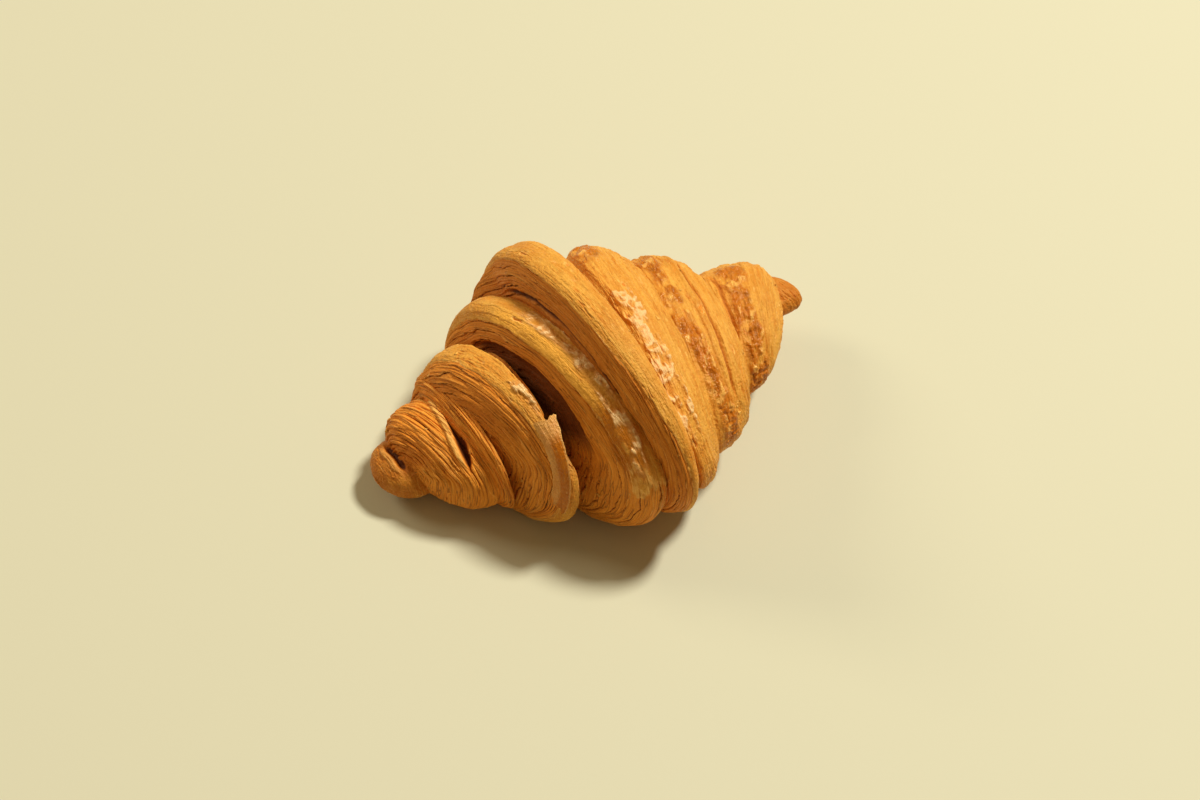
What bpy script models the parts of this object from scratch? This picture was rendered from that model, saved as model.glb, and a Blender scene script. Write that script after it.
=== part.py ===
"""A butter croissant: laminated dough rolled into one straight, stout body with stepped coils.

Metres, +Z up. +X runs from the thick, low tip to the slim, raised tip, +Y is the back.
Each coil is a turned barrel, flattened to an oval, leaned along the roll and joined to its
neighbours. The underside is flat where the dough sat on its baking sheet.
"""

import math

import bpy
from mathutils import Matrix, Vector

# The whole roll
ASPECT = 0.654            # a coil's half height over its half width
SINK = 0.10               # part of a coil's half height that the baking sheet has flattened
REACH = 0.076             # distance from the middle at which LIFT and SWEEP are reached
LIFT_LOW_TIP = 0.0074     # how far the -X tip stands up from the sheet
LIFT_HIGH_TIP = 0.0128    # the same at the +X tip
SWEEP = 0.0150            # how far both tips curve towards the back

# Each coil: place along the roll, half length, half width, lean of its back edge along the roll
COILS = (
    ("tip_low", -0.0660, 0.0105, 0.0115, -0.0020),
    ("coil_1", -0.0535, 0.0130, 0.0225, -0.0050),
    ("coil_2", -0.0440, 0.0120, 0.0290, -0.0065),
    ("coil_3", -0.0320, 0.0190, 0.0370, -0.0070),
    ("coil_4", -0.0155, 0.0205, 0.0490, -0.0075),
    ("coil_5", -0.0010, 0.0165, 0.0550, -0.0050),
    ("coil_6", 0.0130, 0.0145, 0.0480, 0.0020),
    ("coil_7", 0.0300, 0.0175, 0.0385, 0.0030),
    ("coil_8", 0.0530, 0.0160, 0.0240, 0.0060),
    ("tip_high", 0.0720, 0.0085, 0.0095, -0.0020),
)
MIDDLE_COIL = "coil_5"

BARREL_POWER = 2.6        # 2 is an ellipse, higher has squarer shoulders
BARREL_POINTS = 12        # profile points from one end of a barrel to the other
BARREL_SIDES = 40
POLE_MERGE = 0.00001
SHEET_BLOCK = (0.30, 0.24, 0.06)
SMOOTH_BELOW = math.radians(34)

CRUST_COLOUR = (0.52, 0.23, 0.055, 1.0)
CRUST_ROUGHNESS = 0.45


def clear_scene():
    for obj in list(bpy.data.objects):
        bpy.data.objects.remove(obj, do_unlink=True)


def new_collection(name):
    collection = bpy.data.collections.new(name)
    bpy.context.scene.collection.children.link(collection)
    return collection


def crust_material():
    material = bpy.data.materials.new("golden_crust")
    material.use_nodes = True
    shader = material.node_tree.nodes["Principled BSDF"]
    shader.inputs["Base Color"].default_value = CRUST_COLOUR
    shader.inputs["Roughness"].default_value = CRUST_ROUGHNESS
    shader.inputs["Metallic"].default_value = 0.0
    return material


def barrel_profile():
    """Points of a superellipse of unit size, from its upper pole down its outer side."""
    points = []
    for step in range(BARREL_POINTS + 1):
        angle = math.pi * step / BARREL_POINTS
        radius = abs(math.sin(angle)) ** (2 / BARREL_POWER)
        height = math.copysign(abs(math.cos(angle)) ** (2 / BARREL_POWER), math.cos(angle))
        if step in (0, BARREL_POINTS):
            radius = 0.0
        points.append(Vector((radius, 0.0, height)))
    return points


def turned_barrel(collection):
    """One closed barrel of unit size, turned about Z."""
    points = barrel_profile()
    mesh = bpy.data.meshes.new("barrel_profile")
    mesh.from_pydata(points, [(i, i + 1) for i in range(len(points) - 1)], [])
    outline = bpy.data.objects.new("barrel_profile", mesh)
    collection.objects.link(outline)
    screw = outline.modifiers.new("turn", "SCREW")
    screw.axis = "Z"
    screw.steps = BARREL_SIDES
    screw.render_steps = BARREL_SIDES
    screw.use_merge_vertices = True
    screw.merge_threshold = POLE_MERGE
    graph = bpy.context.evaluated_depsgraph_get()
    barrel = bpy.data.meshes.new_from_object(outline.evaluated_get(graph))
    bpy.data.objects.remove(outline, do_unlink=True)
    return barrel


def coil_centre(place, half_height):
    """Where a coil's middle lies, with both tips raised and curved to the back."""
    share = (place / REACH) ** 2
    lift = LIFT_LOW_TIP if place < 0 else LIFT_HIGH_TIP
    return Vector((place, SWEEP * share, half_height * (1 - SINK) + lift * share))


def coil_transform(place, half_length, half_width, lean):
    """Turns a unit barrel from Z to X, then sizes, leans and places it."""
    half_height = half_width * ASPECT
    along_roll = Matrix.Rotation(math.radians(90), 4, "Y")
    sized = Matrix.Diagonal((half_length, half_width, half_height, 1.0))
    leaned = Matrix.Identity(4)
    leaned[0][1] = lean / half_width
    placed = Matrix.Translation(coil_centre(place, half_height))
    return placed @ leaned @ sized @ along_roll


def make_coils(barrel, collection, material):
    coils = {}
    for name, place, half_length, half_width, lean in COILS:
        mesh = barrel.copy()
        mesh.name = name
        mesh.transform(coil_transform(place, half_length, half_width, lean))
        mesh.materials.append(material)
        coil = bpy.data.objects.new(name, mesh)
        collection.objects.link(coil)
        coils[name] = coil
    return coils


def make_sheet_block(collection):
    """The space below the baking sheet, which flattens the underside."""
    bpy.ops.mesh.primitive_cube_add(size=1)
    block = bpy.context.active_object
    block.name = "baking_sheet_space"
    for other in list(block.users_collection):
        other.objects.unlink(block)
    collection.objects.link(block)
    block.data.transform(Matrix.Diagonal((*SHEET_BLOCK, 1.0)))
    block.data.transform(Matrix.Translation((0.0, 0.0, -SHEET_BLOCK[2] / 2)))
    return block


def hide_helper(obj):
    obj.hide_render = True
    obj.display_type = "WIRE"


def add_boolean(target, other, operation):
    boolean = target.modifiers.new(other.name, "BOOLEAN")
    boolean.operation = operation
    boolean.solver = "EXACT"
    boolean.object = other


def centre_on_base(target, helpers):
    """Moves the roll and what shapes it, so that the origin is under the middle of its box."""
    graph = bpy.context.evaluated_depsgraph_get()
    corners = [Vector(corner) for corner in target.evaluated_get(graph).bound_box]
    low = Vector([min(corner[axis] for corner in corners) for axis in range(3)])
    high = Vector([max(corner[axis] for corner in corners) for axis in range(3)])
    shift = Vector((-(low.x + high.x) / 2, -(low.y + high.y) / 2, -low.z))
    for obj in [target, *helpers]:
        obj.location += shift


def build_croissant():
    clear_scene()
    parts = new_collection("croissant_parts")
    cutters = new_collection("shaping_helpers")
    barrel = turned_barrel(cutters)
    coils = make_coils(barrel, cutters, crust_material())
    bpy.data.meshes.remove(barrel)

    croissant = coils.pop(MIDDLE_COIL)
    croissant.name = "croissant"
    cutters.objects.unlink(croissant)
    parts.objects.link(croissant)
    for coil in coils.values():
        add_boolean(croissant, coil, "UNION")
    block = make_sheet_block(cutters)
    add_boolean(croissant, block, "DIFFERENCE")
    croissant.data.shade_smooth()
    croissant.data.set_sharp_from_angle(angle=SMOOTH_BELOW)

    helpers = [*coils.values(), block]
    for helper in helpers:
        hide_helper(helper)
    bpy.context.view_layer.update()
    centre_on_base(croissant, helpers)


build_croissant()
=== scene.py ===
"""A butter croissant on a plain pale floor.

The roll is made of laminated dough coils that lie over each other like shingles. Each coil is
a band swept round the roll by one Geometry Nodes tree, "dough_coil", which also raises its
baked layers, glazed skin, blisters and wrinkled film. One torn flap of film and the loose
flakes are separate pieces. Sizes in the coil and sheet trees are millimetres from the low tip,
the roll's middle and the surface that it rests on.
"""

import math

import bpy
from mathutils import Matrix, Vector


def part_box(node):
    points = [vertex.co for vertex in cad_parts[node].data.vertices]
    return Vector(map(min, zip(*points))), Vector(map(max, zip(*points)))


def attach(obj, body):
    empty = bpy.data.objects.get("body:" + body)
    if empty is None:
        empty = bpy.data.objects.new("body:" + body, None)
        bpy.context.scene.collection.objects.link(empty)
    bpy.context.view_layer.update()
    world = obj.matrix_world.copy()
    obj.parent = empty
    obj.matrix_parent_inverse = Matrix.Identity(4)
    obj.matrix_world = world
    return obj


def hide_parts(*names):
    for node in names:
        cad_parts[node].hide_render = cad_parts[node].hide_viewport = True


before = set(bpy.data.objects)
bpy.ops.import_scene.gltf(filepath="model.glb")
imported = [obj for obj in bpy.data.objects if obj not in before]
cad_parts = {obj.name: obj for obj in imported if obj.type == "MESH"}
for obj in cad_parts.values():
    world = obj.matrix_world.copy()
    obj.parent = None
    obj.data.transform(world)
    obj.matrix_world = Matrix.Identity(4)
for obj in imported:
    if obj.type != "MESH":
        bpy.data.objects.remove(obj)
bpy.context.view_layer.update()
roll_low, roll_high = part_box("croissant")
roll_origin = Vector((roll_low.x, (roll_low.y + roll_high.y) / 2, roll_low.z))

MM = 0.001
BODY = "root"
NODE = "croissant"


# ---------------------------------------------------------------- arithmetic in node trees


class Number:
    """A value inside a node tree, so that a formula reads like plain arithmetic."""

    def __init__(self, tree, socket):
        self.tree = tree
        self.socket = socket

    def math(self, operation, *others):
        node = self.tree.nodes.new("ShaderNodeMath")
        node.operation = operation
        for slot, value in zip(node.inputs, (self, *others)):
            feed(self.tree, slot, value)
        return Number(self.tree, node.outputs[0])

    def __add__(self, other):
        return self.math("ADD", other)

    def __sub__(self, other):
        return self.math("SUBTRACT", other)

    def __mul__(self, other):
        return self.math("MULTIPLY", other)

    def __truediv__(self, other):
        return self.math("DIVIDE", other)

    def __pow__(self, other):
        return self.math("POWER", other)

    def __rsub__(self, other):
        return self * -1.0 + other

    def __rtruediv__(self, other):
        return self**-1.0 * other

    def __abs__(self):
        return self.math("ABSOLUTE")

    __radd__ = __add__
    __rmul__ = __mul__

    def least(self, other):
        return self.math("MINIMUM", other)

    def most(self, other):
        return self.math("MAXIMUM", other)

    def share(self):
        """Kept between 0 and 1."""
        return self.least(1.0).most(0.0)

    def above(self, other):
        return self.math("GREATER_THAN", other)


def feed(tree, slot, value):
    """Links a socket or a Number into a slot, or sets the slot to a plain value."""
    if isinstance(value, Number):
        value = value.socket
    if isinstance(value, bpy.types.NodeSocket):
        tree.links.new(value, slot)
    else:
        slot.default_value = value


def add_node(tree, kind, inputs=None, **settings):
    node = tree.nodes.new(kind)
    for name, value in settings.items():
        setattr(node, name, value)
    for name, value in (inputs or {}).items():
        feed(tree, node.inputs[name], value)
    return node


def mixed(a, b, share):
    """From a at share 0 to b at share 1."""
    return a + (b - a) * share


def rise(value, start, end):
    """A smooth step from 0 at start to 1 at end."""
    node = add_node(value.tree, "ShaderNodeMapRange", interpolation_type="SMOOTHSTEP")
    for name, given in (("Value", value), ("From Min", start), ("From Max", end)):
        feed(value.tree, node.inputs[name], given)
    return Number(value.tree, node.outputs["Result"])


def within(value, low, high, soft):
    """1 between low and high, with soft edges."""
    return rise(value, low - soft, low + soft) * (1.0 - rise(value, high - soft, high + soft))


def ramp(value, start, end):
    """A straight, clamped step from 0 at start to 1 at end."""
    return ((value - start) / (end - start)).share()


def vector_of(tree, x, y, z):
    node = add_node(tree, "ShaderNodeCombineXYZ", {"X": x, "Y": y, "Z": z})
    return node.outputs["Vector"]


def noise(tree, place, scale=1.0, detail=2.0, roughness=0.5):
    """Soft noise from about -1 to 1."""
    node = add_node(
        tree,
        "ShaderNodeTexNoise",
        {"Vector": place, "Scale": scale, "Detail": detail, "Roughness": roughness},
    )
    return (Number(tree, node.outputs[0]) - 0.5) * 2.0


# ---------------------------------------------------------------- geometry tree helpers


def new_geometry_tree(name, sockets):
    """A Geometry Nodes tree with named inputs. Returns it with a Number for each input."""
    tree = bpy.data.node_groups.new(name, "GeometryNodeTree")
    for label, default in sockets.items():
        kind = "NodeSocketFloat"
        if label == "Material":
            kind = "NodeSocketMaterial"
        elif label == "Coil":
            kind = "NodeSocketObject"
        elif isinstance(default, int):
            kind = "NodeSocketInt"
        socket = tree.interface.new_socket(label, in_out="INPUT", socket_type=kind)
        if default is not None:
            socket.default_value = default
    tree.interface.new_socket("Geometry", in_out="OUTPUT", socket_type="NodeSocketGeometry")
    group_in = tree.nodes.new("NodeGroupInput")
    given = {label: Number(tree, group_in.outputs[label]) for label in sockets}
    return tree, given


def store(tree, mesh, name, value, kind="FLOAT", domain="POINT"):
    inputs = {"Geometry": mesh, "Name": name, "Value": value}
    node = add_node(
        tree, "GeometryNodeStoreNamedAttribute", inputs, data_type=kind, domain=domain
    )
    return node.outputs["Geometry"]


def named(tree, name, kind="FLOAT"):
    node = add_node(tree, "GeometryNodeInputNamedAttribute", {"Name": name}, data_type=kind)
    return Number(tree, node.outputs["Attribute"])


def position_of(tree):
    """Where each point is, as three Numbers."""
    here = add_node(tree, "ShaderNodeSeparateXYZ")
    tree.links.new(tree.nodes.new("GeometryNodeInputPosition").outputs[0], here.inputs[0])
    return [Number(tree, here.outputs[axis]) for axis in "XYZ"]


def unit_grid(tree, columns, rows):
    """A flat grid with sides of 1 and its UV map. Returns it with u and v from 0 to 1."""
    grid = add_node(
        tree,
        "GeometryNodeMeshGrid",
        {"Size X": 1.0, "Size Y": 1.0, "Vertices X": columns, "Vertices Y": rows},
    )
    mesh = store(tree, grid.outputs["Mesh"], "OFBake", grid.outputs["UV Map"], "FLOAT2", "CORNER")
    x, y, _ = position_of(tree)
    return mesh, x + 0.5, y + 0.5


def moved_to(tree, mesh, x, y, z):
    """Puts each point of the mesh at this place."""
    node = add_node(
        tree, "GeometryNodeSetPosition", {"Geometry": mesh, "Position": vector_of(tree, x, y, z)}
    )
    return node.outputs["Geometry"]


SEAM_MERGE = 0.0001    # mm


def welded(tree, mesh):
    """Joins points that lie on each other."""
    node = add_node(
        tree, "GeometryNodeMergeByDistance", {"Geometry": mesh, "Distance": SEAM_MERGE}
    )
    return node.outputs["Geometry"]


def to_frame(tree, mesh):
    """Scales millimetres to metres and puts the piece on the frame."""
    scaled = add_node(
        tree,
        "GeometryNodeTransform",
        {"Geometry": mesh, "Scale": (MM, MM, MM), "Translation": roll_origin},
    )
    return scaled.outputs["Geometry"]


def finish_tree(tree, mesh, material):
    """Ends a tree as a plain, smooth mesh with one material."""
    smooth = add_node(tree, "GeometryNodeSetShadeSmooth", {"Geometry": mesh})
    plain = add_node(
        tree, "GeometryNodeRealizeInstances", {"Geometry": smooth.outputs["Geometry"]}
    )
    painted = add_node(
        tree,
        "GeometryNodeSetMaterial",
        {"Geometry": plain.outputs["Geometry"], "Material": material},
    )
    group_out = tree.nodes.new("NodeGroupOutput")
    tree.links.new(painted.outputs["Geometry"], group_out.inputs["Geometry"])


def grow(name, tree, values):
    """Runs a tree once with these input values and keeps its result as a plain mesh object."""
    seed_mesh = bpy.data.meshes.new(name + "_seed")
    obj = bpy.data.objects.new(name, seed_mesh)
    bpy.context.scene.collection.objects.link(obj)
    modifier = obj.modifiers.new("grow", "NODES")
    modifier.node_group = tree
    identifiers = {
        item.name: item.identifier
        for item in tree.interface.items_tree
        if item.item_type == "SOCKET" and item.in_out == "INPUT"
    }
    for label, value in values.items():
        if tree.interface.items_tree[label].socket_type == "NodeSocketFloat":
            value = float(value)
        modifier[identifiers[label]] = value
    graph = bpy.context.evaluated_depsgraph_get()
    mesh = bpy.data.meshes.new_from_object(
        obj.evaluated_get(graph), preserve_all_data_layers=True, depsgraph=graph
    )
    obj.modifiers.remove(modifier)
    obj.data = mesh
    mesh.name = name
    bpy.data.meshes.remove(seed_mesh)
    return obj


def keep_piece(obj):
    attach(obj, BODY)
    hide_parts(NODE)


# ---------------------------------------------------------------- the dough coils

COIL_SOCKETS = {
    "Along": 200,
    "Around": 300,
    "Show from": 0.25,
    "Show to": 0.75,
    "Place": 80.0,
    "Length low": 10.0,
    "Length high": 15.0,
    "Half width": 50.0,
    "Half height": 33.0,
    "Lean low": -5.0,
    "Lean high": -5.0,
    "Lean top": 0.0,
    "Power low": 2.5,
    "Power high": 2.5,
    "Set back": 0.0,
    "Middle height": 30.0,
    "Back spread": 0.0,
    "Layer pitch": 1.2,
    "Layer depth": 0.5,
    "Skin from": -5.0,
    "Skin to": 20.0,
    "Skin end": 400.0,
    "Skin lean": 0.0,
    "Skin rough": 1.0,
    "Film at": 0.0,
    "Film width": 0.0,
    "Film lean": 0.0,
    "Film pale and sheen": 1.0,
    "Film start": -60.0,
    "Film end": 60.0,
    "Blister at": 0.0,
    "Blister width": 0.0,
    "Blister lean": 0.0,
    "Blister start": -90.0,
    "Blister end": 90.0,
    # A patch of painted light that brightens the skin where light falls on it.
    "Highlight at": 0.0,
    "Highlight width": 0.0,
    "Highlight start": -60.0,
    "Highlight end": 60.0,
    "Glaze at": 0.0,
    "Glaze width": 0.0,
    "Glaze start": -90.0,
    "Glaze end": 90.0,
    "Hollow from": 0.0,
    "Hollow to": 90.0,
    "Hollow depth": 0.0,
    "Hollow tilt": 0.0,
    "Hollow span": 60.0,
    "Hollow lean": 0.0,
    "Hollow to lean": 0.0,
    "Ledge from": 0.0,
    "Ledge to": 0.0,
    "Ledge height": 0.0,
    "Front fade": 0.0,
    "Crease at": 0.0,
    "Crease depth": 0.0,
    "Crease start": -60.0,
    "Crease end": 60.0,
    "Crease width": 1.1,
    "Crease lean": 0.0,
    "Crease lip": 0.0,
    "Stripe depth": 0.0,
    "Browned": 0.0,
    "Bare browned": 0.0,
    "Sheet pitch": 4.0,
    "Sheet step": 0.45,
    "Sheet facing": 1.0,
    "Seed": 1.0,
    "Material": None,
}

BOTTOM_ARC = 40.0      # degrees each side of the underside's middle that get few spokes
BOTTOM_SHARE = 0.05    # share of the spokes for each of those two arcs
HIDDEN_SHARE = 0.07    # share of the rings for each hidden end of a band
UNDERSIDE_LEVEL = 0.35    # mm above the surface that the croissant rests on
UNDERSIDE_ROUND = 1.2     # mm over which a coil's side turns into the flat underside
HOLLOW_SOFT = 14.0        # degrees on each side of a hollow's end, over which it fades
QUARTER_TURN = 90.0       # degrees, over which a crease moves by its lean


def piecewise(value, first, last, share):
    """0 to 1, with the ends outside first..last squeezed into share of the range each."""
    start = ramp(value, 0.0, share) * first
    middle = ramp(value, share, 1.0 - share) * (last - first)
    end = ramp(value, 1.0 - share, 1.0) * (1.0 - last)
    return start + middle + end


def place_band(tree, given, mesh, swing, back, up):
    """Puts a grid on a coil: swing is the angle across its section, back and up go round it."""
    # The section is two unlike halves of a superellipse, joined at the crown.
    reach = swing.math("COSINE") * -1.0
    high_side = reach.above(0.0)
    power = 2.0 / mixed(given["Power low"], given["Power high"], high_side)
    step = reach.math("SIGN") * abs(reach) ** power
    radius = swing.math("SINE").most(0.0) ** power
    length = mixed(given["Length low"], given["Length high"], high_side)
    low_back = rise(up, 0.35, -0.25) * back.above(0.0)
    length = length * (1.0 + low_back * given["Back spread"])
    lean = mixed(given["Lean low"], given["Lean high"], step * 0.5 + 0.5)

    uneven = vector_of(tree, given["Seed"] * 3.7, back * 1.3, up * 1.3)
    size = 1.0 + noise(tree, uneven, 1.0, 1.0) * 0.02
    x = given["Place"] + length * step + radius * (back * lean + up * given["Lean top"])
    y = given["Set back"] + given["Half width"] * radius * size * back
    z = given["Middle height"] + given["Half height"] * radius * size * up
    mean_half = (given["Half width"] + given["Half height"]) * 0.5

    # Below the front the layers run straight down instead of round.
    front = rise(back, -0.7, -1.0).most(rise(up, 0.2, -0.1)) * rise(radius, 0.98, 0.75)
    reached = radius * mixed(1.0, abs(back), front)
    across = length * step + (1.0 - reached) * mean_half * (high_side * 2.0 - 1.0)

    # Along the band in x and round it in y and z, in millimetres, so patterns can follow it.
    flow = vector_of(tree, across + given["Seed"] * 97.0, back * mean_half, up * mean_half)
    mesh = store(tree, mesh, "across", across)
    mesh = store(tree, mesh, "back", back)
    mesh = store(tree, mesh, "up", up)
    mesh = store(tree, mesh, "flow", flow, "FLOAT_VECTOR")
    outward = add_node(tree, "GeometryNodeFlipFaces", {"Mesh": moved_to(tree, mesh, x, y, z)})
    return outward.outputs["Mesh"]


def raise_by(tree, mesh, height):
    """Moves a surface outwards by this height."""
    normal = tree.nodes.new("GeometryNodeInputNormal").outputs[0]
    offset = add_node(
        tree, "ShaderNodeVectorMath", {0: normal, "Scale": height}, operation="SCALE"
    )
    raised = add_node(
        tree, "GeometryNodeSetPosition", {"Geometry": mesh, "Offset": offset.outputs[0]}
    )
    return raised.outputs["Geometry"]


def scaled_flow(tree, width, reach, shift):
    """The flow vector divided by a width along the band and a reach round it."""
    flow = named(tree, "flow", "FLOAT_VECTOR")
    node = add_node(tree, "ShaderNodeVectorMath", {0: flow}, operation="DIVIDE")
    node.inputs[1].default_value = (width, reach, reach)
    moved = add_node(tree, "ShaderNodeVectorMath", {0: node.outputs[0]}, operation="ADD")
    moved.inputs[1].default_value = (shift, shift * 1.7, shift * 0.6)
    return moved.outputs[0]


def swell_of(tree):
    """The slow rise and fall of the dough, the same on a coil and on a sheet that lies on it."""
    place = tree.nodes.new("GeometryNodeInputPosition").outputs[0]
    return noise(tree, place, 0.06, 1.0) * 0.8


def dough_coil_tree():
    tree, given = new_geometry_tree("dough_coil", COIL_SOCKETS)
    mesh, along, around = unit_grid(tree, given["Along"], given["Around"])

    # Angle round the roll: back at 0, top at a quarter turn, front at a half turn.
    turn = piecewise(around, BOTTOM_ARC / 360, 1 - BOTTOM_ARC / 360, BOTTOM_SHARE)
    angle = (turn - 0.25) * math.tau
    back = angle.math("COSINE")
    up = angle.math("SINE")

    swing = piecewise(along, given["Show from"], given["Show to"], HIDDEN_SHARE) * math.pi
    mesh = welded(tree, place_band(tree, given, mesh, swing, back, up))
    mesh = dough_surface(tree, given, mesh)
    finish_tree(tree, to_frame(tree, mesh), given["Material"])
    return tree


class Dough:
    """A point on a coil: how far across the band and round it, and noise that follows the band."""

    def __init__(self, tree):
        self.tree = tree
        self.across = named(tree, "across")
        self.back = named(tree, "back")
        self.up = named(tree, "up")
        self.tilt = self.back.math("ARCTAN2", self.up) * -math.degrees(1.0)

    def streaks(self, width, reach, detail=2.0, shift=0.0, roughness=0.5):
        """Noise whose streaks are this wide along the band, and this long round it."""
        place = scaled_flow(self.tree, width, reach, shift)
        return noise(self.tree, place, 1.0, detail, roughness)

    def for_layer(self, number, turns, detail=1.0):
        """Noise of a numbered layer's own, which changes this fast as it goes round."""
        place = vector_of(self.tree, number, self.back * turns, self.up * turns)
        return noise(self.tree, place, 1.0, detail)

    def wrinkles(self, width, reach, shift):
        """Sharp, wavy creases from 0 to 1, as in crumpled film."""
        broad = (1.0 - abs(self.streaks(width, reach, 2.0, shift)) * 3.4).most(0.0)
        fine = (1.0 - abs(self.streaks(width * 0.55, reach * 0.6, 2.0, shift + 7.0)) * 3.0).most(0.0)
        return (broad + fine * 0.45).share()


def cut_layers(dough, given):
    """Thin plates parted by narrow valleys. Gives their height, the painted shade in their valleys
    and the painted highlight on their tops.
    """
    wavy = dough.across + dough.streaks(12.0, 34.0, 1.0, 3.0) * 1.8
    wavy = wavy + dough.streaks(4.0, 16.0, 1.0, 13.0) * 0.25
    phase = wavy / given["Layer pitch"]
    number = phase.math("FLOOR")
    inside = phase - number
    own_height = dough.for_layer(number * 7.31, 2.0)
    own_lean = dough.for_layer(number * 4.43 + 20.0, 1.3) * (inside - 0.5)
    chipped = dough.for_layer(number * 3.17 + 60.0, 12.0, 2.0)
    own_valley = rise(dough.for_layer(phase.math("ROUND") * 5.77 + 40.0, 1.2), -0.1, 0.4)
    ridge = 1.0 - abs(inside * 2.0 - 1.0) ** 4.0
    valley = (1.0 - ridge) * (0.25 + own_valley * 1.1)
    clear = rise(dough.streaks(9.0, 16.0, 1.0, 27.0), -0.6, 0.2) * 0.4 + 0.6
    clear = clear * (1.0 - rise(dough.tilt, 35.0, 80.0) * given["Front fade"])
    top = own_height * 0.8 + own_lean * 1.6 + chipped * 0.12
    fine = dough.streaks(0.5, 16.0, 2.0, 21.0)
    height = given["Layer depth"] * clear * (top - valley + 0.2) + fine * 0.14
    dark = valley * clear + fine * 0.2
    light = rise(top, 0.0, 0.6) * ridge * clear
    return height, dark, light


def torn_terraces(dough, given):
    """Wider sheets that overlap like shingles. Gives their height, the undercut below each edge,
    which is painted as shade, and the torn edge.
    """
    torn = dough.streaks(2.2, 3.2, 3.0, 43.0, 0.6) * 0.75 + dough.streaks(9.0, 14.0, 1.0, 47.0) * 3.0
    phase = (dough.across * given["Sheet facing"] + torn) / given["Sheet pitch"]
    number = phase.math("FLOOR")
    inside = phase - number
    own = dough.for_layer(number * 6.13 + 9.0, 1.7)
    step = rise(own, -0.35, 0.25) * given["Sheet step"]
    undercut = rise(inside, 0.84, 0.99) * step * 1.6
    edge = (1.0 - rise(inside, 0.0, 0.12)) * step * 2.0
    return (1.0 - inside) * step - undercut * 0.6, undercut, edge.share()


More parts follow.
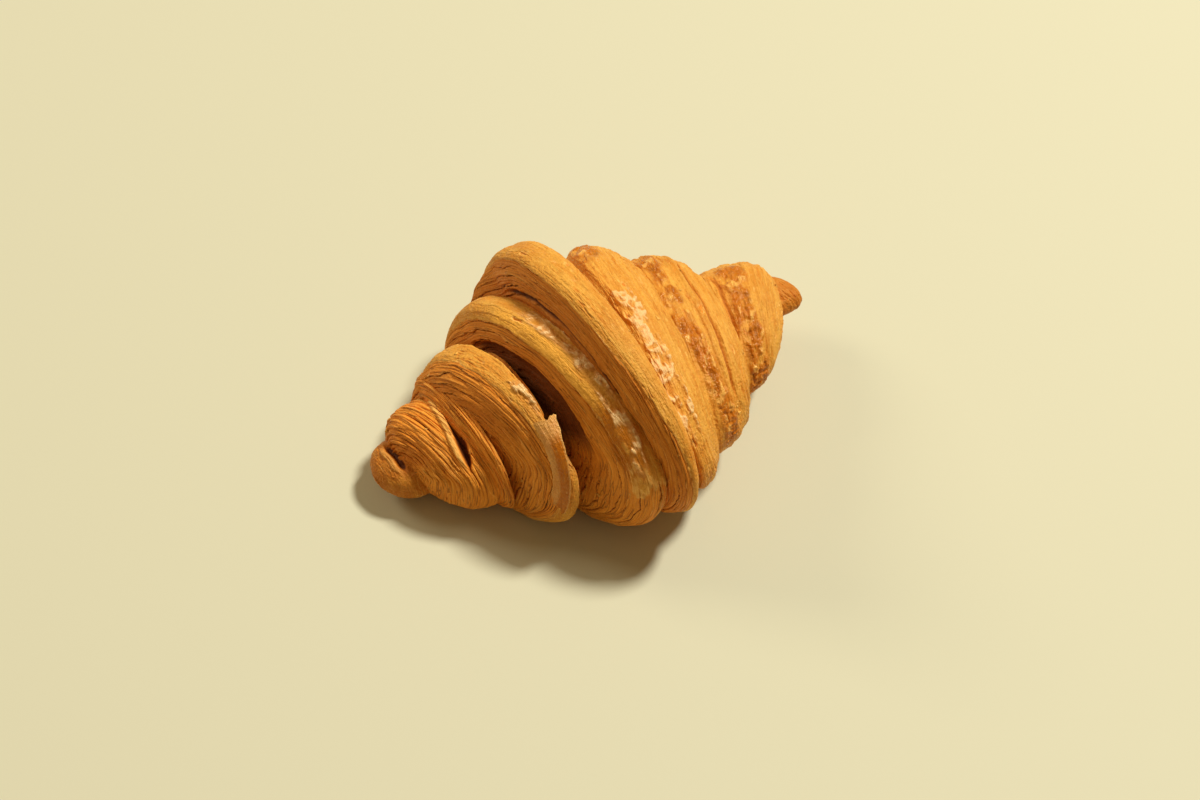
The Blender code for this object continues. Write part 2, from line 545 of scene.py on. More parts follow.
def dough_surface(tree, given, mesh):
    """Raises layers, skin, blisters and film on a smooth band, records where they are, and where
    shade and highlights are painted on them.
    """
    dough = Dough(tree)
    streaks = dough.streaks
    across = dough.across
    tilt = dough.tilt
    place = tree.nodes.new("GeometryNodeInputPosition").outputs[0]
    layers, layer_shade, layer_highlight = cut_layers(dough, given)
    terrace, undercut, torn_edge = torn_terraces(dough, given)

    # The glazed top skin, with a ragged edge that stands over the layers.
    ragged = streaks(5.0, 6.0, 3.0, 33.0) * 1.6 + streaks(1.6, 1.2, 2.0, 35.0) * 0.6
    frontward = rise(tilt, -10.0, 90.0)
    skin_shift = frontward * given["Skin lean"]
    skin_low = given["Skin from"] + skin_shift
    skin_high = given["Skin to"] + skin_shift
    skin = within(across + ragged, skin_low, skin_high, 0.3)
    worn = rise(streaks(3.5, 7.0, 3.0, 37.0), 0.30, 0.42)
    past_end = tilt + streaks(3.0, 5.0, 2.0, 39.0) * 20.0 - given["Skin end"]
    skin = skin * (1.0 - worn) * (1.0 - rise(past_end, 0.0, 14.0))
    lumps = noise(tree, place, 0.22, 2.0) * 0.25
    crinkle = streaks(1.0, 1.5, 3.0, 41.0, 0.65) * given["Skin rough"] * 0.28
    stripes = streaks(2.6, 34.0, 1.0, 45.0) * given["Stripe depth"]
    crack_line = abs(streaks(3.2, 17.0, 2.0, 49.0) + streaks(0.9, 2.0, 1.0, 50.0) * 0.05)
    crack = (1.0 - rise(crack_line, 0.01, 0.04)) * rise(streaks(7.0, 14.0, 1.0, 53.0), -0.1, 0.3)
    crack = crack * given["Skin rough"]
    skin_relief = 0.5 + lumps + crinkle + stripes + layers * 0.15 - crack * 0.3

    # Blistered patches, thin wrinkled film, dark glaze and a patch of painted light, each where its
    # band lies.
    patchy = streaks(6.0, 8.0, 2.0, 51.0)

    def patch(name, soft, breaks):
        middle = given[name + " at"] + patchy * 1.2
        if name + " lean" in given:
            middle = middle + frontward * given[name + " lean"]
        width = given[name + " width"] * (1.0 + streaks(14.0, 9.0, 1.0, 57.0) * 0.7)
        band = within(across, middle - width, middle + width, soft)
        span = within(tilt + patchy * 8.0, given[name + " start"], given[name + " end"], 8.0)
        return band * span * rise(breaks, -0.4, -0.1) * given[name + " width"].above(0.0)

    blister = patch("Blister", 1.5, patchy)
    creased = dough.wrinkles(5.0, 3.2, 55.0)
    bubbles = streaks(3.8, 5.0, 2.0, 5.0)
    blister_relief = blister * (creased * 0.8 + bubbles * 1.3 - 0.15)

    film = patch("Film", 0.6, streaks(4.0, 6.0, 2.0, 71.0) - 0.2)
    film_creased = dough.wrinkles(5.0, 3.0, 81.0)
    film_relief = film * (0.1 + film_creased * (0.2 + given["Skin rough"] * 0.9))
    glaze = patch("Glaze", 1.5, patchy)
    # Painted light: a patch of skin made paler where light falls on the crown.
    pale = patch("Highlight", 1.5, patchy + 0.3)

    # A hollow beside the crown, where the next coil has lifted off, with a ledge left in it. Besides
    # sinking the surface, it is painted near black as the shade inside the gap.
    far = (given["Hollow span"] + HOLLOW_SOFT) * 0.5
    near_tilt, far_tilt = given["Hollow tilt"] - far, given["Hollow tilt"] + far
    hollow_low = given["Hollow from"] + frontward * given["Hollow lean"]
    hollow_high = given["Hollow to"] + frontward * given["Hollow to lean"]
    hollow = within(across + ragged * 0.5, hollow_low, hollow_high, 0.9)
    hollow = hollow * within(tilt, near_tilt, far_tilt, HOLLOW_SOFT)
    hollow = hollow * given["Hollow depth"].above(0.0)
    ledge = within(across + ragged * 0.4, given["Ledge from"], given["Ledge to"], 0.5)
    ledge = ledge * within(tilt, near_tilt + 8.0, far_tilt - 24.0, 8.0) * given["Ledge height"]

    # One long crease where two turns of dough meet, with a raised lip beside it. Besides its dip,
    # the crease is painted dark as shade.
    crease_line = across + streaks(8.0, 12.0, 2.0, 91.0) * 1.5 - given["Crease at"]
    crease_line = crease_line - tilt * given["Crease lean"] / QUARTER_TURN
    crease_span = within(tilt, given["Crease start"], given["Crease end"], 12.0)
    crease_width = given["Crease width"] * (0.25 + crease_span * 0.75)
    crease = (1.0 - rise(abs(crease_line), crease_width * 0.2, crease_width)) * crease_span
    crease = crease * given["Crease depth"]
    lip = within(crease_line, crease_width * -1.0 - 1.9, crease_width * -1.0 + 0.2, 0.4)
    lip = lip * crease_span * given["Crease lip"]
    layers = layers * (1.0 - lip.share() * 0.75)

    bare = 1.0 - skin * 0.7
    relief = swell_of(tree) + mixed(layers, skin_relief, skin) + blister_relief + film_relief
    relief = relief + terrace * bare + lip - crease
    relief = relief - hollow * given["Hollow depth"] * (1.0 - ledge) * (1.0 - frontward * 0.7)
    mesh = raise_by(tree, mesh, relief)
    # Painted shade: dark in the valleys between plates, under the edges of torn sheets, in skin
    # cracks and creases, and deep on the low walls.
    dark = layer_shade.most(undercut * 1.3) * (1.0 - skin * 0.75)
    dark = dark.most(crack * skin * 0.5).most(crease * 0.8)
    # Painted shade deep on each coil's low side, far from its crown and fading towards the front.
    deep = rise(across * -1.0, 12.0, 25.0) * (1.0 - rise(tilt, 0.0, 55.0))
    dark = dark.most(deep * 0.35).share()
    # Painted highlight on the tops of the plates and on the raised crinkles of the skin.
    light = mixed(layer_highlight, (crinkle * 2.2).share(), skin)
    mesh = store(tree, mesh, "skin", skin)
    mesh = store(tree, mesh, "groove", dark)
    mesh = store(tree, mesh, "light", light)
    # Torn edges and lips, painted paler: partly their own colour, partly a painted highlight.
    mesh = store(tree, mesh, "rim", (torn_edge * bare + lip).share())
    mesh = store(tree, mesh, "blister", blister)
    # The film's own paleness; on coil_4 it is raised as a painted sheen on film that lies in shade.
    mesh = store(tree, mesh, "film", film * given["Film pale and sheen"])
    mesh = store(tree, mesh, "bubbled", blister * bubbles)
    mesh = store(tree, mesh, "creased", film_creased * film)
    # Where the hollow is painted dark as shade; the ledge in it is left lighter.
    mesh = store(tree, mesh, "hollow", hollow * (1.0 - (ledge * 1.5).share()))
    mesh = store(tree, mesh, "glaze", glaze)
    # Where the crown is painted light.
    mesh = store(tree, mesh, "pale", pale)
    # Browning that the crust has, plus painted shade: the bare layered walls, which face away from
    # the light, and the deep low walls are browned further.
    browned = given["Browned"] + (1.0 - skin) * given["Bare browned"] + deep * 0.4
    mesh = store(tree, mesh, "browned", browned)

    # The underside is flat where the dough sat on its baking sheet.
    x, y, z = position_of(tree)
    return moved_to(tree, mesh, x, y, z.math("SMOOTH_MAX", UNDERSIDE_LEVEL, UNDERSIDE_ROUND))


SHEET_SOCKETS = {
    "Cells across": 40,
    "Cells round": 90,
    "Start low": 0.25,
    "Start high": 0.75,
    "End low": 0.25,
    "End high": 0.75,
    "Tilt from": -60.0,
    "Tilt to": 60.0,
    "Base lift": 0.4,
    "Lift low": 0.0,
    "Lift high": 0.0,
    "Lift start": 0.0,
    "Lift end": 0.0,
    "Ragged": 0.1,
    "Wrinkle": 0.15,
    "Thickness": 0.12,
    "Skin": 1.0,
    "Film": 0.0,
    "Glaze": 0.0,
    "Browned": 0.0,
}
SHEET_SOCKETS.update(
    (label, default)
    for label, default in COIL_SOCKETS.items()
    if label in ("Place", "Set back", "Middle height", "Back spread", "Seed", "Material")
    or label.startswith(("Length", "Half", "Lean", "Power"))
)


def torn_sheet_tree():
    """A thin torn layer that lies over a coil and lifts off it at its edges."""
    tree, given = new_geometry_tree("torn_sheet", SHEET_SOCKETS)
    mesh, u, v = unit_grid(tree, given["Cells across"], given["Cells round"])
    seed = given["Seed"] * 5.3 + given["Tilt from"] * 0.11 + given["Start low"] * 31.0

    def tear(value, side, spread):
        """How far the edge is torn back at this point along it."""
        place = vector_of(tree, value * spread, seed + side * 13.7, 0.0)
        return noise(tree, place, 1.0, 4.0, 0.62) * given["Ragged"]

    # The low and high edges are torn most; the two ends taper to a point.
    low = mixed(given["Start low"], given["End low"], v)
    high = mixed(given["Start high"], given["End high"], v)
    narrowed = (v * (1.0 - v) * 4.0).most(0.0) ** 0.4
    torn_u = mixed(tear(v, 1.0, 14.0), 1.0 + tear(v, 2.0, 14.0), u)
    torn_u = (torn_u - 0.5) * mixed(1.0, narrowed, given["Ragged"] * 6.0 - 0.6) + 0.5
    torn_v = mixed(tear(u, 3.0, 5.0), 1.0 + tear(u, 4.0, 5.0), v)
    swing = mixed(low, high, torn_u) * math.pi
    angle = mixed(given["Tilt from"], given["Tilt to"], torn_v) * math.radians(1.0) + math.pi / 2
    mesh = store(tree, mesh, "u", u)
    mesh = store(tree, mesh, "v", v)
    mesh = place_band(tree, given, mesh, swing, angle.math("COSINE"), angle.math("SINE"))

    u = named(tree, "u")
    v = named(tree, "v")
    lift = given["Base lift"] + given["Lift low"] * (1.0 - u) ** 2.5 + given["Lift high"] * u**2.5
    lift = lift + given["Lift start"] * (1.0 - v) ** 4.0 + given["Lift end"] * v**4.0
    creases = 1.0 - abs(noise(tree, scaled_flow(tree, 2.2, 16.0, 81.0), 1.0, 1.0)) * 2.0
    waves = noise(tree, scaled_flow(tree, 5.0, 8.0, 17.0), 1.0, 1.0)
    lift = lift + (creases + waves) * given["Wrinkle"] + swell_of(tree)
    mesh = raise_by(tree, mesh, lift)

    # A closed skin: the top moves out by the thickness, and a turned copy closes the underside.
    shell = add_node(
        tree,
        "GeometryNodeExtrudeMesh",
        {"Mesh": mesh, "Offset Scale": given["Thickness"], "Individual": False},
        mode="FACES",
    )
    under = add_node(tree, "GeometryNodeFlipFaces", {"Mesh": mesh})
    both = tree.nodes.new("GeometryNodeJoinGeometry")
    tree.links.new(shell.outputs["Mesh"], both.inputs[0])
    tree.links.new(under.outputs["Mesh"], both.inputs[0])
    mesh = welded(tree, both.outputs[0])
    middle = rise(u, 0.30, 0.50) * (1.0 - rise(u, 0.90, 0.99)) * rise(v, 0.06, 0.22)
    mesh = store(tree, mesh, "skin", given["Skin"])
    mesh = store(tree, mesh, "film", given["Film"] * (1.0 - middle * given["Glaze"]))
    mesh = store(tree, mesh, "glaze", given["Glaze"] * middle)
    mesh = store(tree, mesh, "browned", given["Browned"])
    # Torn edges of the sheet, painted paler: partly their own colour, partly a painted highlight.
    edge = (1.0 - u).least(u).least(v)
    mesh = store(tree, mesh, "rim", (1.0 - rise(edge, 0.0, 0.08)) * 0.5)
    finish_tree(tree, to_frame(tree, mesh), given["Material"])
    return tree


# Flakes are for each square metre of torn edge, and lengths and widths are millimetres.
FLAKE_SOCKETS = {
    "Coil": None,
    "Flakes": 60000.0,
    "Length": 1.3,
    "Width": 0.8,
    "Seed": 1,
    "Material": None,
}
FLAKE_THICKNESS = 0.09             # mm, for a flake of size 1
FLAKE_SMALLEST, FLAKE_LARGEST = 0.4, 1.3
FLAKE_LEAN = 0.25                  # radians either way


def flake_tree():
    """Small curled flakes that stand on a coil along its torn edges and on its skin."""
    tree, given = new_geometry_tree("loose_flakes", FLAKE_SOCKETS)
    coil = add_node(tree, "GeometryNodeObjectInfo", {"Object": given["Coil"]})
    often = named(tree, "rim") + named(tree, "skin") * 0.02 + 0.01
    inputs = {
        "Mesh": coil.outputs["Geometry"],
        "Density": often * given["Flakes"],
        "Seed": given["Seed"],
    }
    spots = add_node(tree, "GeometryNodeDistributePointsOnFaces", inputs)

    plate = add_node(
        tree,
        "GeometryNodeMeshCube",
        {
            "Size": (1.0, 1.0, FLAKE_THICKNESS),
            "Vertices X": 4,
            "Vertices Y": 3,
            "Vertices Z": 2,
        },
    )
    x, y, z = position_of(tree)
    curl = x * x * 0.5 + (y + x * 0.6) * y * 0.3
    flake = moved_to(
        tree,
        plate.outputs["Mesh"],
        x * given["Length"] * MM,
        y * (1.0 - x * 0.7) * given["Width"] * MM,
        (z + curl) * MM,
    )
    # Inputs 2 and 3 are the least and the most of a random float.
    size = add_node(
        tree, "FunctionNodeRandomValue", {2: FLAKE_SMALLEST, 3: FLAKE_LARGEST, "Seed": 7}
    )
    placed = add_node(
        tree,
        "GeometryNodeInstanceOnPoints",
        {
            "Points": spots.outputs["Points"],
            "Instance": flake,
            "Rotation": spots.outputs["Rotation"],
            "Scale": size.outputs[1],
        },
    )
    turn = add_node(
        tree, "FunctionNodeRandomValue", {"Seed": 11}, data_type="FLOAT_VECTOR"
    )
    turn.inputs[0].default_value = (-FLAKE_LEAN, -FLAKE_LEAN, 0.0)
    turn.inputs[1].default_value = (FLAKE_LEAN, FLAKE_LEAN, math.tau)
    turned = add_node(
        tree,
        "GeometryNodeRotateInstances",
        {"Instances": placed.outputs["Instances"], "Rotation": turn.outputs[0]},
    )
    solid = add_node(
        tree, "GeometryNodeRealizeInstances", {"Geometry": turned.outputs["Instances"]}
    )
    mesh = store(tree, solid.outputs["Geometry"], "skin", 1.0)
    mesh = store(tree, mesh, "rim", 0.45)
    mesh = store(tree, mesh, "groove", 0.0)
    finish_tree(tree, mesh, given["Material"])
    return tree


SECTION_HALVINGS = 40


def section_share(sizes, across):
    """How far along a coil's section, from 0 to 1, its surface reaches this distance."""
    mean_half = (sizes["Half width"] + sizes["Half height"]) / 2
    side = "low" if across < 0 else "high"
    length = sizes["Length " + side]
    power = 2.0 / sizes["Power " + side]
    near, far = 0.0, math.pi / 2
    for _ in range(SECTION_HALVINGS):
        swing = (near + far) / 2
        reached = length * math.cos(swing) ** power
        reached += (1.0 - math.sin(swing) ** power) * mean_half
        if reached > abs(across):
            near = swing
        else:
            far = swing
    share = near / math.pi
    return share if across < 0 else 1.0 - share


# ---------------------------------------------------------------- crust material


# The crust's colours. The darkest browns also paint shade in valleys, cracks, creases and gaps, and
# the palest golds paint highlights on plate tops, blister domes, film wrinkles and the lit crown.
CRUST = {
    "plate light": (0.96, 0.375, 0.035, 1.0),
    "plate": (0.69, 0.20, 0.012, 1.0),
    "valley": (0.11, 0.020, 0.002, 1.0),
    "skin": (0.76, 0.36, 0.045, 1.0),
    "lit skin": (1.0, 0.48, 0.055, 1.0),
    "skin deep": (0.60, 0.205, 0.013, 1.0),
    "stripe": (0.88, 0.49, 0.075, 1.0),
    "speck": (0.44, 0.13, 0.010, 1.0),
    "crest_highlight": (0.97, 0.54, 0.11, 1.0),
    "rim": (0.97, 0.57, 0.14, 1.0),
    "amber": (0.56, 0.165, 0.006, 1.0),
    "browned": (0.49, 0.12, 0.002, 1.0),
    "film": (0.90, 0.50, 0.17, 1.0),
    "film crest": (0.98, 0.68, 0.30, 1.0),
    "hollow": (0.11, 0.018, 0.001, 1.0),
}


def crust_material():
    material = bpy.data.materials.new("baked_crust")
    material.use_nodes = True
    tree = material.node_tree
    shader = tree.nodes["Principled BSDF"]

    def attribute(name, output="Fac"):
        node = add_node(tree, "ShaderNodeAttribute", attribute_name=name)
        return Number(tree, node.outputs[output])

    def tinted(colour, name, share):
        """The colour so far, turned towards a named one by this share."""
        node = add_node(tree, "ShaderNodeMix", data_type="RGBA")
        feed(tree, node.inputs[0], share)
        feed(tree, node.inputs[6], colour)
        feed(tree, node.inputs[7], CRUST[name] if isinstance(name, str) else name)
        return node.outputs[2]

    def flowing(width, reach, detail, shift):
        node = add_node(tree, "ShaderNodeMapping", {"Vector": attribute("flow", "Vector")})
        node.inputs["Scale"].default_value = (1.0 / width, 1.0 / reach, 1.0 / reach)
        node.inputs["Location"].default_value = (shift, shift, shift)
        return noise(tree, node.outputs[0], 1.0, detail)

    skin = attribute("skin")
    blister = attribute("blister")
    film = attribute("film")
    glaze = attribute("glaze")
    creased = attribute("creased")
    bubbled = attribute("bubbled")
    place = tree.nodes.new("ShaderNodeTexCoord").outputs["Object"]
    mottled = noise(tree, place, 260.0, 4.0, 0.65) * 0.9 + 0.5
    speckled = flowing(0.7, 1.3, 3.0, 29.0) * 0.9 + 0.5
    lines = flowing(0.45, 20.0, 2.0, 9.0) * 1.1 + 0.5
    hair_lines = flowing(0.25, 11.0, 1.0, 19.0) * 0.7 + 0.5
    stripes = flowing(2.6, 24.0, 3.0, 4.0) * 1.8
    grain = noise(tree, place, 1200.0, 2.0)
    patches = flowing(9.0, 13.0, 3.0, 14.0)

    plates = tinted(CRUST["plate light"], "plate", lines.share())
    # Painted highlight on the raised plate tops.
    plates = tinted(plates, "crest_highlight", attribute("light") * 0.55)
    plates = tinted(plates, "valley", rise(lines, 0.75, 1.25) * 0.5)
    plates = tinted(plates, "rim", rise(lines, 0.15, -0.3) * 0.6)
    seam = 1.0 - rise(abs(flowing(1.3, 26.0, 1.0, 61.0)), 0.015, 0.07)
    plates = tinted(plates, "valley", seam * 0.5)
    skin_colour = tinted(CRUST["skin"], "skin deep", mottled.share() * 0.8)
    skin_colour = tinted(skin_colour, "stripe", (stripes + 0.3).share() * 0.6)
    skin_colour = tinted(skin_colour, "skin deep", (-0.1 - stripes).share() * 0.75)
    skin_colour = tinted(skin_colour, "skin deep", rise(hair_lines, 0.5, 0.9) * 0.5)
    skin_colour = tinted(skin_colour, "skin deep", rise(grain, 0.1, 0.6) * 0.75)
    skin_colour = tinted(skin_colour, "stripe", rise(grain, -0.1, -0.6) * 0.75)
    # Painted highlight on the skin's raised crinkles.
    skin_colour = tinted(skin_colour, "crest_highlight", attribute("light") * 0.4)
    # Painted light on the lit crown.
    skin_colour = tinted(skin_colour, "lit skin", attribute("pale") * 0.9)
    fold = 1.0 - rise(abs(flowing(2.4, 20.0, 2.0, 71.0)), 0.01, 0.08)
    fold = fold * rise(patches, -0.25, 0.25)
    skin_colour = tinted(skin_colour, "skin deep", fold * 0.7)
    colour = tinted(plates, skin_colour, skin * 0.92)
    colour = tinted(colour, "amber", (glaze * (0.7 + mottled * 0.4)).share())
    colour = tinted(colour, "amber", rise(patches, 0.15, 0.7) * 0.5)
    # Browning, with the painted shade of the low walls mixed in.
    colour = tinted(colour, "browned", (attribute("browned") * (0.5 + mottled * 0.6)).share())
    colour = tinted(colour, "browned", (blister * (0.62 + mottled * 0.42)).share())
    # Painted shade in the sunken parts of the blisters and painted highlight on their domes.
    colour = tinted(colour, "valley", rise(bubbled, -0.05, -0.3) * 0.35)
    colour = tinted(colour, "crest_highlight", rise(bubbled, 0.08, 0.35) * 0.7)
    colour = tinted(colour, "film", (film * 0.5).share())
    smooth_film = film.share() * (1.0 - creased) * rise(patches, -0.3, 0.3)
    colour = tinted(colour, "amber", smooth_film * 0.7)
    # Painted glints on the crests of the film's wrinkles.
    colour = tinted(colour, "film crest", rise(creased, 0.4, 0.95) * 0.65)
    colour = tinted(colour, "speck", rise(speckled, 0.6, 1.3) * 0.7)
    colour = tinted(colour, "crest_highlight", rise(speckled, 0.35, -0.2) * 0.7)
    # The thin edge of the skin and the torn rims are paler, partly as their own colour and partly as
    # a painted highlight.
    torn_rim = (skin * (1.0 - skin) * 4.0).most(attribute("rim"))
    colour = tinted(colour, "rim", torn_rim * 0.6)
    # Painted shade in the grooves: orange-brown where shallow, near black where deep.
    groove = attribute("groove")
    colour = tinted(colour, "plate", (groove * 1.8).share() * 0.85)
    colour = tinted(colour, "valley", rise(groove, 0.25, 1.0))
    # Painted shade in the hollow between coils.
    colour = tinted(colour, "hollow", attribute("hollow") * 0.88)
    tree.links.new(colour, shader.inputs["Base Color"])

    gloss = skin * 0.10 + blister.most(film).most(glaze).share() * 0.36 + creased * 0.06
    roughness = 0.66 - gloss + (mottled - 0.5) * 0.2
    tree.links.new(roughness.share().socket, shader.inputs["Roughness"])
    shader.inputs["Specular IOR Level"].default_value = 0.38
    shader.inputs["Specular Tint"].default_value = (1.0, 0.80, 0.48, 1.0)
    height = grain * (0.5 + skin * 0.6) + lines * 0.5 + hair_lines * 0.4
    height = height + flowing(0.9, 1.5, 3.0, 31.0) * 0.8
    height = height - seam * (1.0 - skin * 0.8) * 0.8 - fold * skin * 0.3
    bump = add_node(tree, "ShaderNodeBump", {"Strength": 0.7, "Distance": 0.0003})
    tree.links.new(height.socket, bump.inputs["Height"])
    tree.links.new(bump.outputs["Normal"], shader.inputs["Normal"])
    return material


# ---------------------------------------------------------------- coil sizes, millimetres

COIL_COLUMNS = (
    "Along",
    "Around",
    "Place",
    "Length low",
    "Length high",
    "Half width",
    "Half height",
    "Lean low",
    "Lean high",
    "Lean top",
    "Power low",
    "Power high",
    "Set back",
    "Middle height",
    "Seed",
)

COILS = {
    "tip_low": (110, 140, 9.6, 9.3, 11.8, 11.7, 7.5, -1.9, -1.4, 0.2, 1.9, 2.2, 13.4, 9.6, 1),
    "coil_1": (230, 260, 26.0, 15.6, 9.3, 23.6, 15.1, -7.8, -6.1, 1.7, 2.2, 2.6, 8.0, 15.4, 2),
    "coil_2": (160, 280, 32.3, 7.0, 5.9, 29.6, 18.0, -8.0, 1.9, 0.1, 2.1, 2.0, 9.2, 17.5, 3),
    "coil_3": (240, 360, 45.9, 14.9, 9.8, 36.7, 24.8, -14.0, 2.8, 5.5, 2.7, 2.1, 1.8, 23.2, 4),
    "coil_4": (240, 400, 61.7, 9.9, 14.2, 50.0, 30.6, -13.2, -9.8, 5.9, 3.2, 1.9, -1.3, 28.0, 5),
    "coil_5": (240, 400, 77.9, 10.7, 6.2, 56.8, 38.4, -9.8, -3.9, 0.8, 3.5, 3.1, 1.8, 33.7, 6),
    "coil_6": (230, 400, 93.2, 7.0, 19.7, 49.3, 31.5, -3.0, 5.8, -4.0, 2.4, 1.9, 2.0, 29.2, 7),
    "coil_7": (230, 360, 106.6, 17.3, 21.4, 39.4, 25.0, 6.9, 2.8, 0.7, 2.2, 2.3, 3.4, 24.6, 8),
    "coil_8": (200, 280, 128.7, 17.0, 21.4, 24.4, 15.9, -1.5, 10.8, 1.6, 2.3, 2.3, 6.6, 20.4, 9),
    "tip_high": (110, 130, 151.4, 8.6, 8.1, 8.2, 5.6, -2.7, -4.0, 0.0, 2.4, 2.4, 15.4, 18.1, 10),
}

# Torn layers: the coil, then tilt with the low and high edge there, at the start and the end.
SHEETS = {
    "film_flap": {
        "coil": "coil_3",
        "start": (27, -8, 0.3),
        "end": (100, -18, -7),
        "Cells across": 100,
        "Cells round": 160,
        "Base lift": 1.7,
        "Lift low": -1.2,
        "Lift high": 0.8,
        "Lift start": 0.9,
        "Lift end": -2.0,
        "Film": 0.9,
        "Glaze": 1.0,
        "Browned": 0.6,
        "Ragged": 0.07,
        "Wrinkle": 0.12,
    },
}

# The part of each coil's section that the others leave open, millimetres from its crown.
OPEN = {
    "tip_low": (-18, 6),
    "coil_1": (-33, 5),
    "coil_2": (-13, 9),
    "coil_3": (-34, 16),
    "coil_4": (-36, 13),
    "coil_5": (-29, 12),
    "coil_6": (-14, 31),
    "coil_7": (-14, 37),
    "coil_8": (-16, 36),
    "tip_high": (-8, 14),
}

SURFACES = {
    "tip_low": {
        "Skin from": -30.0,
        "Skin to": 3.0,
        "Layer pitch": 0.9,
        "Layer depth": 0.4,
        "Crease at": -2.5,
        "Crease depth": 1.5,
        "Crease width": 2.0,
        "Crease lip": 0.5,
        "Crease start": -35.0,
        "Crease end": 25.0,
        "Browned": 0.8,
    },
    "coil_1": {
        "Skin from": 60.0,
        "Skin to": 70.0,
        "Layer pitch": 1.75,
        "Layer depth": 1.0,
        "Front fade": 0.7,
        "Sheet step": 0.25,
        "Hollow from": 0.0,
        "Hollow depth": 4.0,
        "Hollow tilt": 25.0,
        "Hollow span": 60.0,
        "Crease at": -0.4,
        "Crease lean": -13.0,
        "Crease depth": 2.8,
        "Crease width": 2.0,
        "Crease lip": 1.1,
        "Crease start": -48.0,
        "Crease end": 40.0,
    },
    "coil_2": {
        "Back spread": 0.3,
        "Skin from": 60.0,
        "Skin to": 70.0,
        "Layer pitch": 1.8,
        "Layer depth": 1.0,
        "Sheet step": 0.25,
    },
    "coil_3": {
        "Back spread": 0.35,
        "Skin from": -10.0,
        "Skin to": 0.5,
        "Layer pitch": 1.3,
        "Layer depth": 0.5,
        "Hollow from": -0.8,
        "Hollow depth": 10.0,
        "Hollow tilt": -6.0,
        "Hollow span": 104.0,
        "Hollow lean": -4.5,
        "Ledge from": 4.0,
        "Ledge to": 7.5,
        "Ledge height": 0.6,
        "Bare browned": 0.15,
        "Film at": -2.8,
        "Film width": 2.2,
        "Film start": -8.0,
        "Film end": 22.0,
    },
    "coil_4": {
        "Back spread": 0.5,
        "Skin from": -11.0,
        "Skin to": 12.0,
        "Layer pitch": 1.2,
        "Layer depth": 0.38,
        "Skin rough": 0.4,
        "Bare browned": 0.1,
        # On this coil the hollow is a shallow dip on the low wall, painted dark as the shade of the
        # gap beside coil_3.
        "Hollow from": -40.0,
        "Hollow to": -20.5,
        "Hollow to lean": -7.0,
        "Hollow depth": 2.0,
        "Hollow tilt": -5.0,
        "Hollow span": 110.0,
        "Skin end": 64.0,
        "Film at": -0.8,
        "Film width": 2.6,
        "Film lean": -5.0,
        # Paler film here is a painted sheen on film in the shade of coil_5.
        "Film pale and sheen": 1.5,
        "Film start": -24.0,
        "Film end": 60.0,
        "Glaze at": -7.0,
        "Glaze width": 7.0,
        # Painted light on the crown, where light falls.
        "Highlight at": -8.0,
        "Highlight width": 3.6,
        "Highlight start": -40.0,
        "Highlight end": 30.0,
        "Front fade": 0.6,
        "Glaze start": 27.0,
        "Glaze end": 66.0,
    },
    "coil_5": {
        "Back spread": 1.1,
        "Skin from": -9.0,
        "Skin to": 30.0,
        "Skin lean": 8.0,
        "Front fade": 0.4,
        "Layer pitch": 1.1,
        "Layer depth": 0.45,
        "Crease at": -22.3,
        "Crease depth": 1.2,
        "Crease width": 1.6,
        "Crease start": -60.0,
        "Crease end": 62.0,
        "Stripe depth": 0.25,
        "Bare browned": 0.45,
    },
    "coil_6": {
        "Back spread": 0.5,
        "Sheet facing": -1.0,
        "Skin from": -18.0,
        "Skin to": 34.0,
        "Layer pitch": 1.3,
        "Layer depth": 0.5,
        "Film at": 3.0,
        "Film width": 4.6,
        "Film pale and sheen": 0.4,
        "Film start": -12.0,
        "Film end": 62.0,
        "Blister at": 1.0,
        "Blister width": 2.6,
        "Blister start": -75.0,
        "Blister end": -38.0,
        "Stripe depth": 0.7,
    },
    "coil_7": {
        "Back spread": 0.2,
        "Sheet facing": -1.0,
        "Skin from": -18.0,
        "Skin to": 38.0,
        "Layer pitch": 1.3,
        "Layer depth": 0.5,
        "Blister at": 1.0,
        "Blister width": 3.4,
        "Blister lean": 6.0,
        "Blister start": -50.0,
        "Blister end": 95.0,
        "Stripe depth": 1.2,
        "Crease at": 13.0,
        "Crease depth": 0.7,
        "Crease start": -50.0,
        "Crease end": 60.0,
    },
    "coil_8": {
        "Sheet facing": -1.0,
        "Skin from": -18.0,
        "Skin to": 38.0,
        "Layer pitch": 1.2,
        "Layer depth": 0.5,
        "Blister at": 4.5,
        "Blister width": 5.0,
        "Blister lean": 3.0,
        "Blister start": -45.0,
        "Blister end": 100.0,
        "Stripe depth": 0.8,
        "Crease at": -1.5,
        "Crease depth": 0.7,
        "Crease start": -40.0,
        "Crease end": 80.0,
    },
    "tip_high": {
        "Skin from": -30.0,
        "Skin to": 30.0,
        "Layer pitch": 0.8,
        "Layer depth": 0.3,
        "Stripe depth": 0.2,
        "Browned": 0.8,
    },
}


# ---------------------------------------------------------------- stage


FLOOR_COLOUR = (0.62, 0.588, 0.380, 1.0)
STUDIO_COLOUR = (1.0, 0.75, 0.44, 1.0)


def add_floor():
    bpy.ops.mesh.primitive_plane_add(size=8.0)
    floor = bpy.context.active_object
    floor.name = "floor"
    material = bpy.data.materials.new("pale_floor")
    material.use_nodes = True
    shader = material.node_tree.nodes["Principled BSDF"]
    shader.inputs["Base Color"].default_value = FLOOR_COLOUR
    shader.inputs["Roughness"].default_value = 0.8
    floor.data.materials.append(material)


CAMERA_AZIMUTH = math.radians(-24.4)
CAMERA_ELEVATION = math.radians(53.9)
CAMERA_ROLL = math.radians(2.6)
CAMERA_DISTANCE = 0.784
CAMERA_LENS = 70.0
AIM_OFFSET = Vector((-0.0024, -0.0018, 0.025))


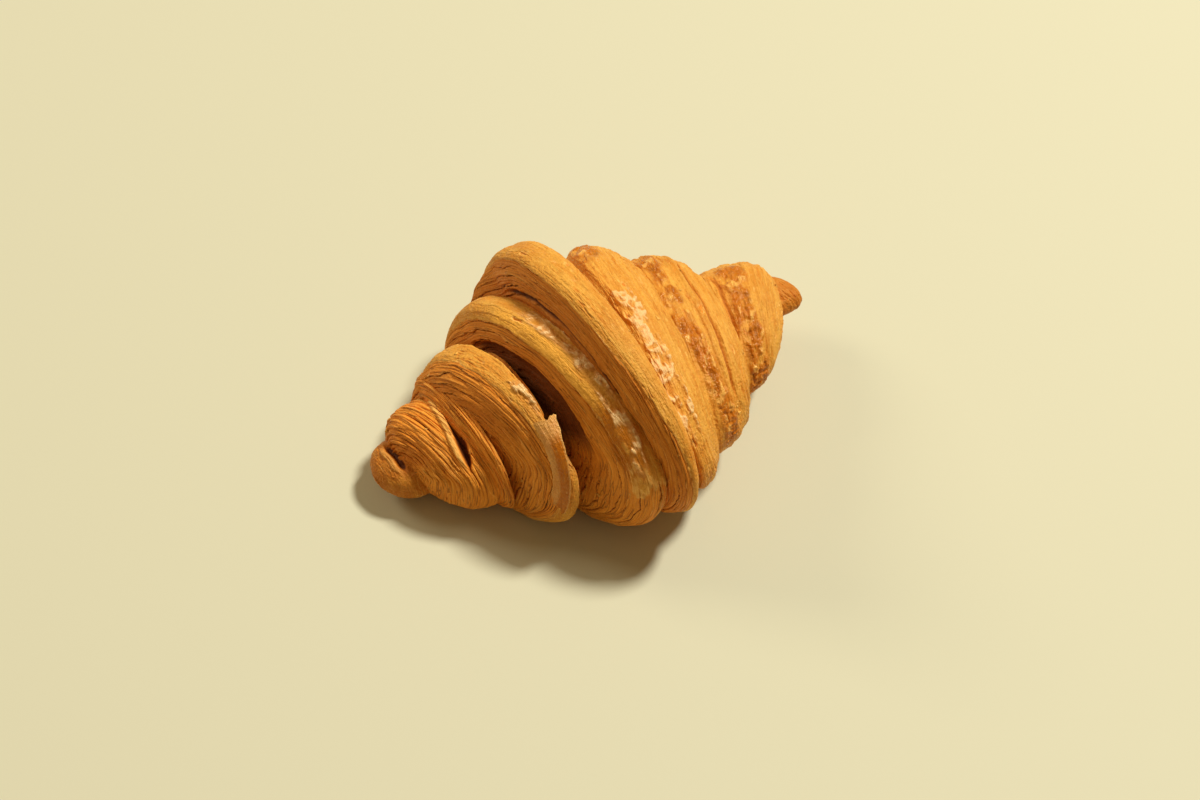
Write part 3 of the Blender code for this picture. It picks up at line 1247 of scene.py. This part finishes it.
def camera_axes():
    a, e = CAMERA_AZIMUTH, CAMERA_ELEVATION
    backward = Vector((math.sin(a) * math.cos(e), -math.cos(a) * math.cos(e), math.sin(e)))
    right = Vector((math.cos(a), math.sin(a), 0.0))
    return right, backward.cross(right), backward


def add_camera():
    right, up, backward = camera_axes()
    turn = Matrix.Rotation(CAMERA_ROLL, 3, backward)
    right, up = turn.inverted() @ right, turn.inverted() @ up
    data = bpy.data.cameras.new("camera")
    data.lens = CAMERA_LENS
    data.sensor_width = 36.0
    data.clip_start = 0.05
    data.clip_end = 20.0
    camera = bpy.data.objects.new("camera", data)
    bpy.context.scene.collection.objects.link(camera)
    aim = Vector((roll_origin.x + (roll_high.x - roll_low.x) / 2, roll_origin.y, roll_low.z))
    aim += AIM_OFFSET
    camera.matrix_world = Matrix.Translation(aim + backward * CAMERA_DISTANCE) @ Matrix(
        (right, up, backward)
    ).transposed().to_4x4()
    bpy.context.scene.camera = camera


LIGHT_DISTANCE = 3.0

# Each light: the way to it from the middle of the floor, its width, its power and its colour.
LIGHTS = {
    "key_light": ((0.554, 0.040, 0.832), 0.5, 100.0, (0.98, 0.98, 1.0)),
    "rim_light": ((-0.45, 0.70, 0.55), 1.2, 25.0, (1.0, 0.92, 0.80)),
}


def add_area_light(name, direction, size, power, colour):
    data = bpy.data.lights.new(name, "AREA")
    data.shape = "DISK"
    data.size = size
    data.energy = power
    data.color = colour
    light = bpy.data.objects.new(name, data)
    bpy.context.scene.collection.objects.link(light)
    direction = Vector(direction)
    light.location = direction.normalized() * LIGHT_DISTANCE
    light.rotation_euler = direction.to_track_quat("Z", "Y").to_euler()


def add_lights():
    for name, facts in LIGHTS.items():
        add_area_light(name, *facts)
    world = bpy.data.worlds.new("studio")
    bpy.context.scene.world = world
    world.use_nodes = True
    background = world.node_tree.nodes["Background"]
    background.inputs["Color"].default_value = STUDIO_COLOUR
    background.inputs["Strength"].default_value = 0.235
    bpy.context.scene.view_settings.view_transform = "Standard"


# ---------------------------------------------------------------- build

add_camera()
add_lights()
add_floor()

crust = crust_material()
coil_tree = dough_coil_tree()
for coil_name, sizes in COILS.items():
    values = dict(zip(COIL_COLUMNS, sizes))
    values.update(SURFACES[coil_name])
    values["Show from"] = section_share(values, OPEN[coil_name][0])
    values["Show to"] = section_share(values, OPEN[coil_name][1])
    coil = grow(coil_name, coil_tree, {**values, "Material": crust})
    keep_piece(coil)

sheet_tree = torn_sheet_tree()
for sheet_name, sheet in SHEETS.items():
    values = dict(zip(COIL_COLUMNS, COILS[sheet["coil"]]))
    values["Tilt from"], *start = sheet["start"]
    values["Tilt to"], *end = sheet["end"]
    values["Start low"], values["Start high"] = (section_share(values, edge) for edge in start)
    values["End low"], values["End high"] = (section_share(values, edge) for edge in end)
    values.update(sheet)
    values = {label: value for label, value in values.items() if label in SHEET_SOCKETS}
    keep_piece(grow(sheet_name, sheet_tree, {**values, "Material": crust}))

flakes = flake_tree()
for coil_name in COILS:
    coil = bpy.data.objects[coil_name]
    seed = COILS[coil_name][-1]
    keep_piece(grow("flakes_" + coil_name, flakes, {"Coil": coil, "Seed": seed, "Material": crust}))
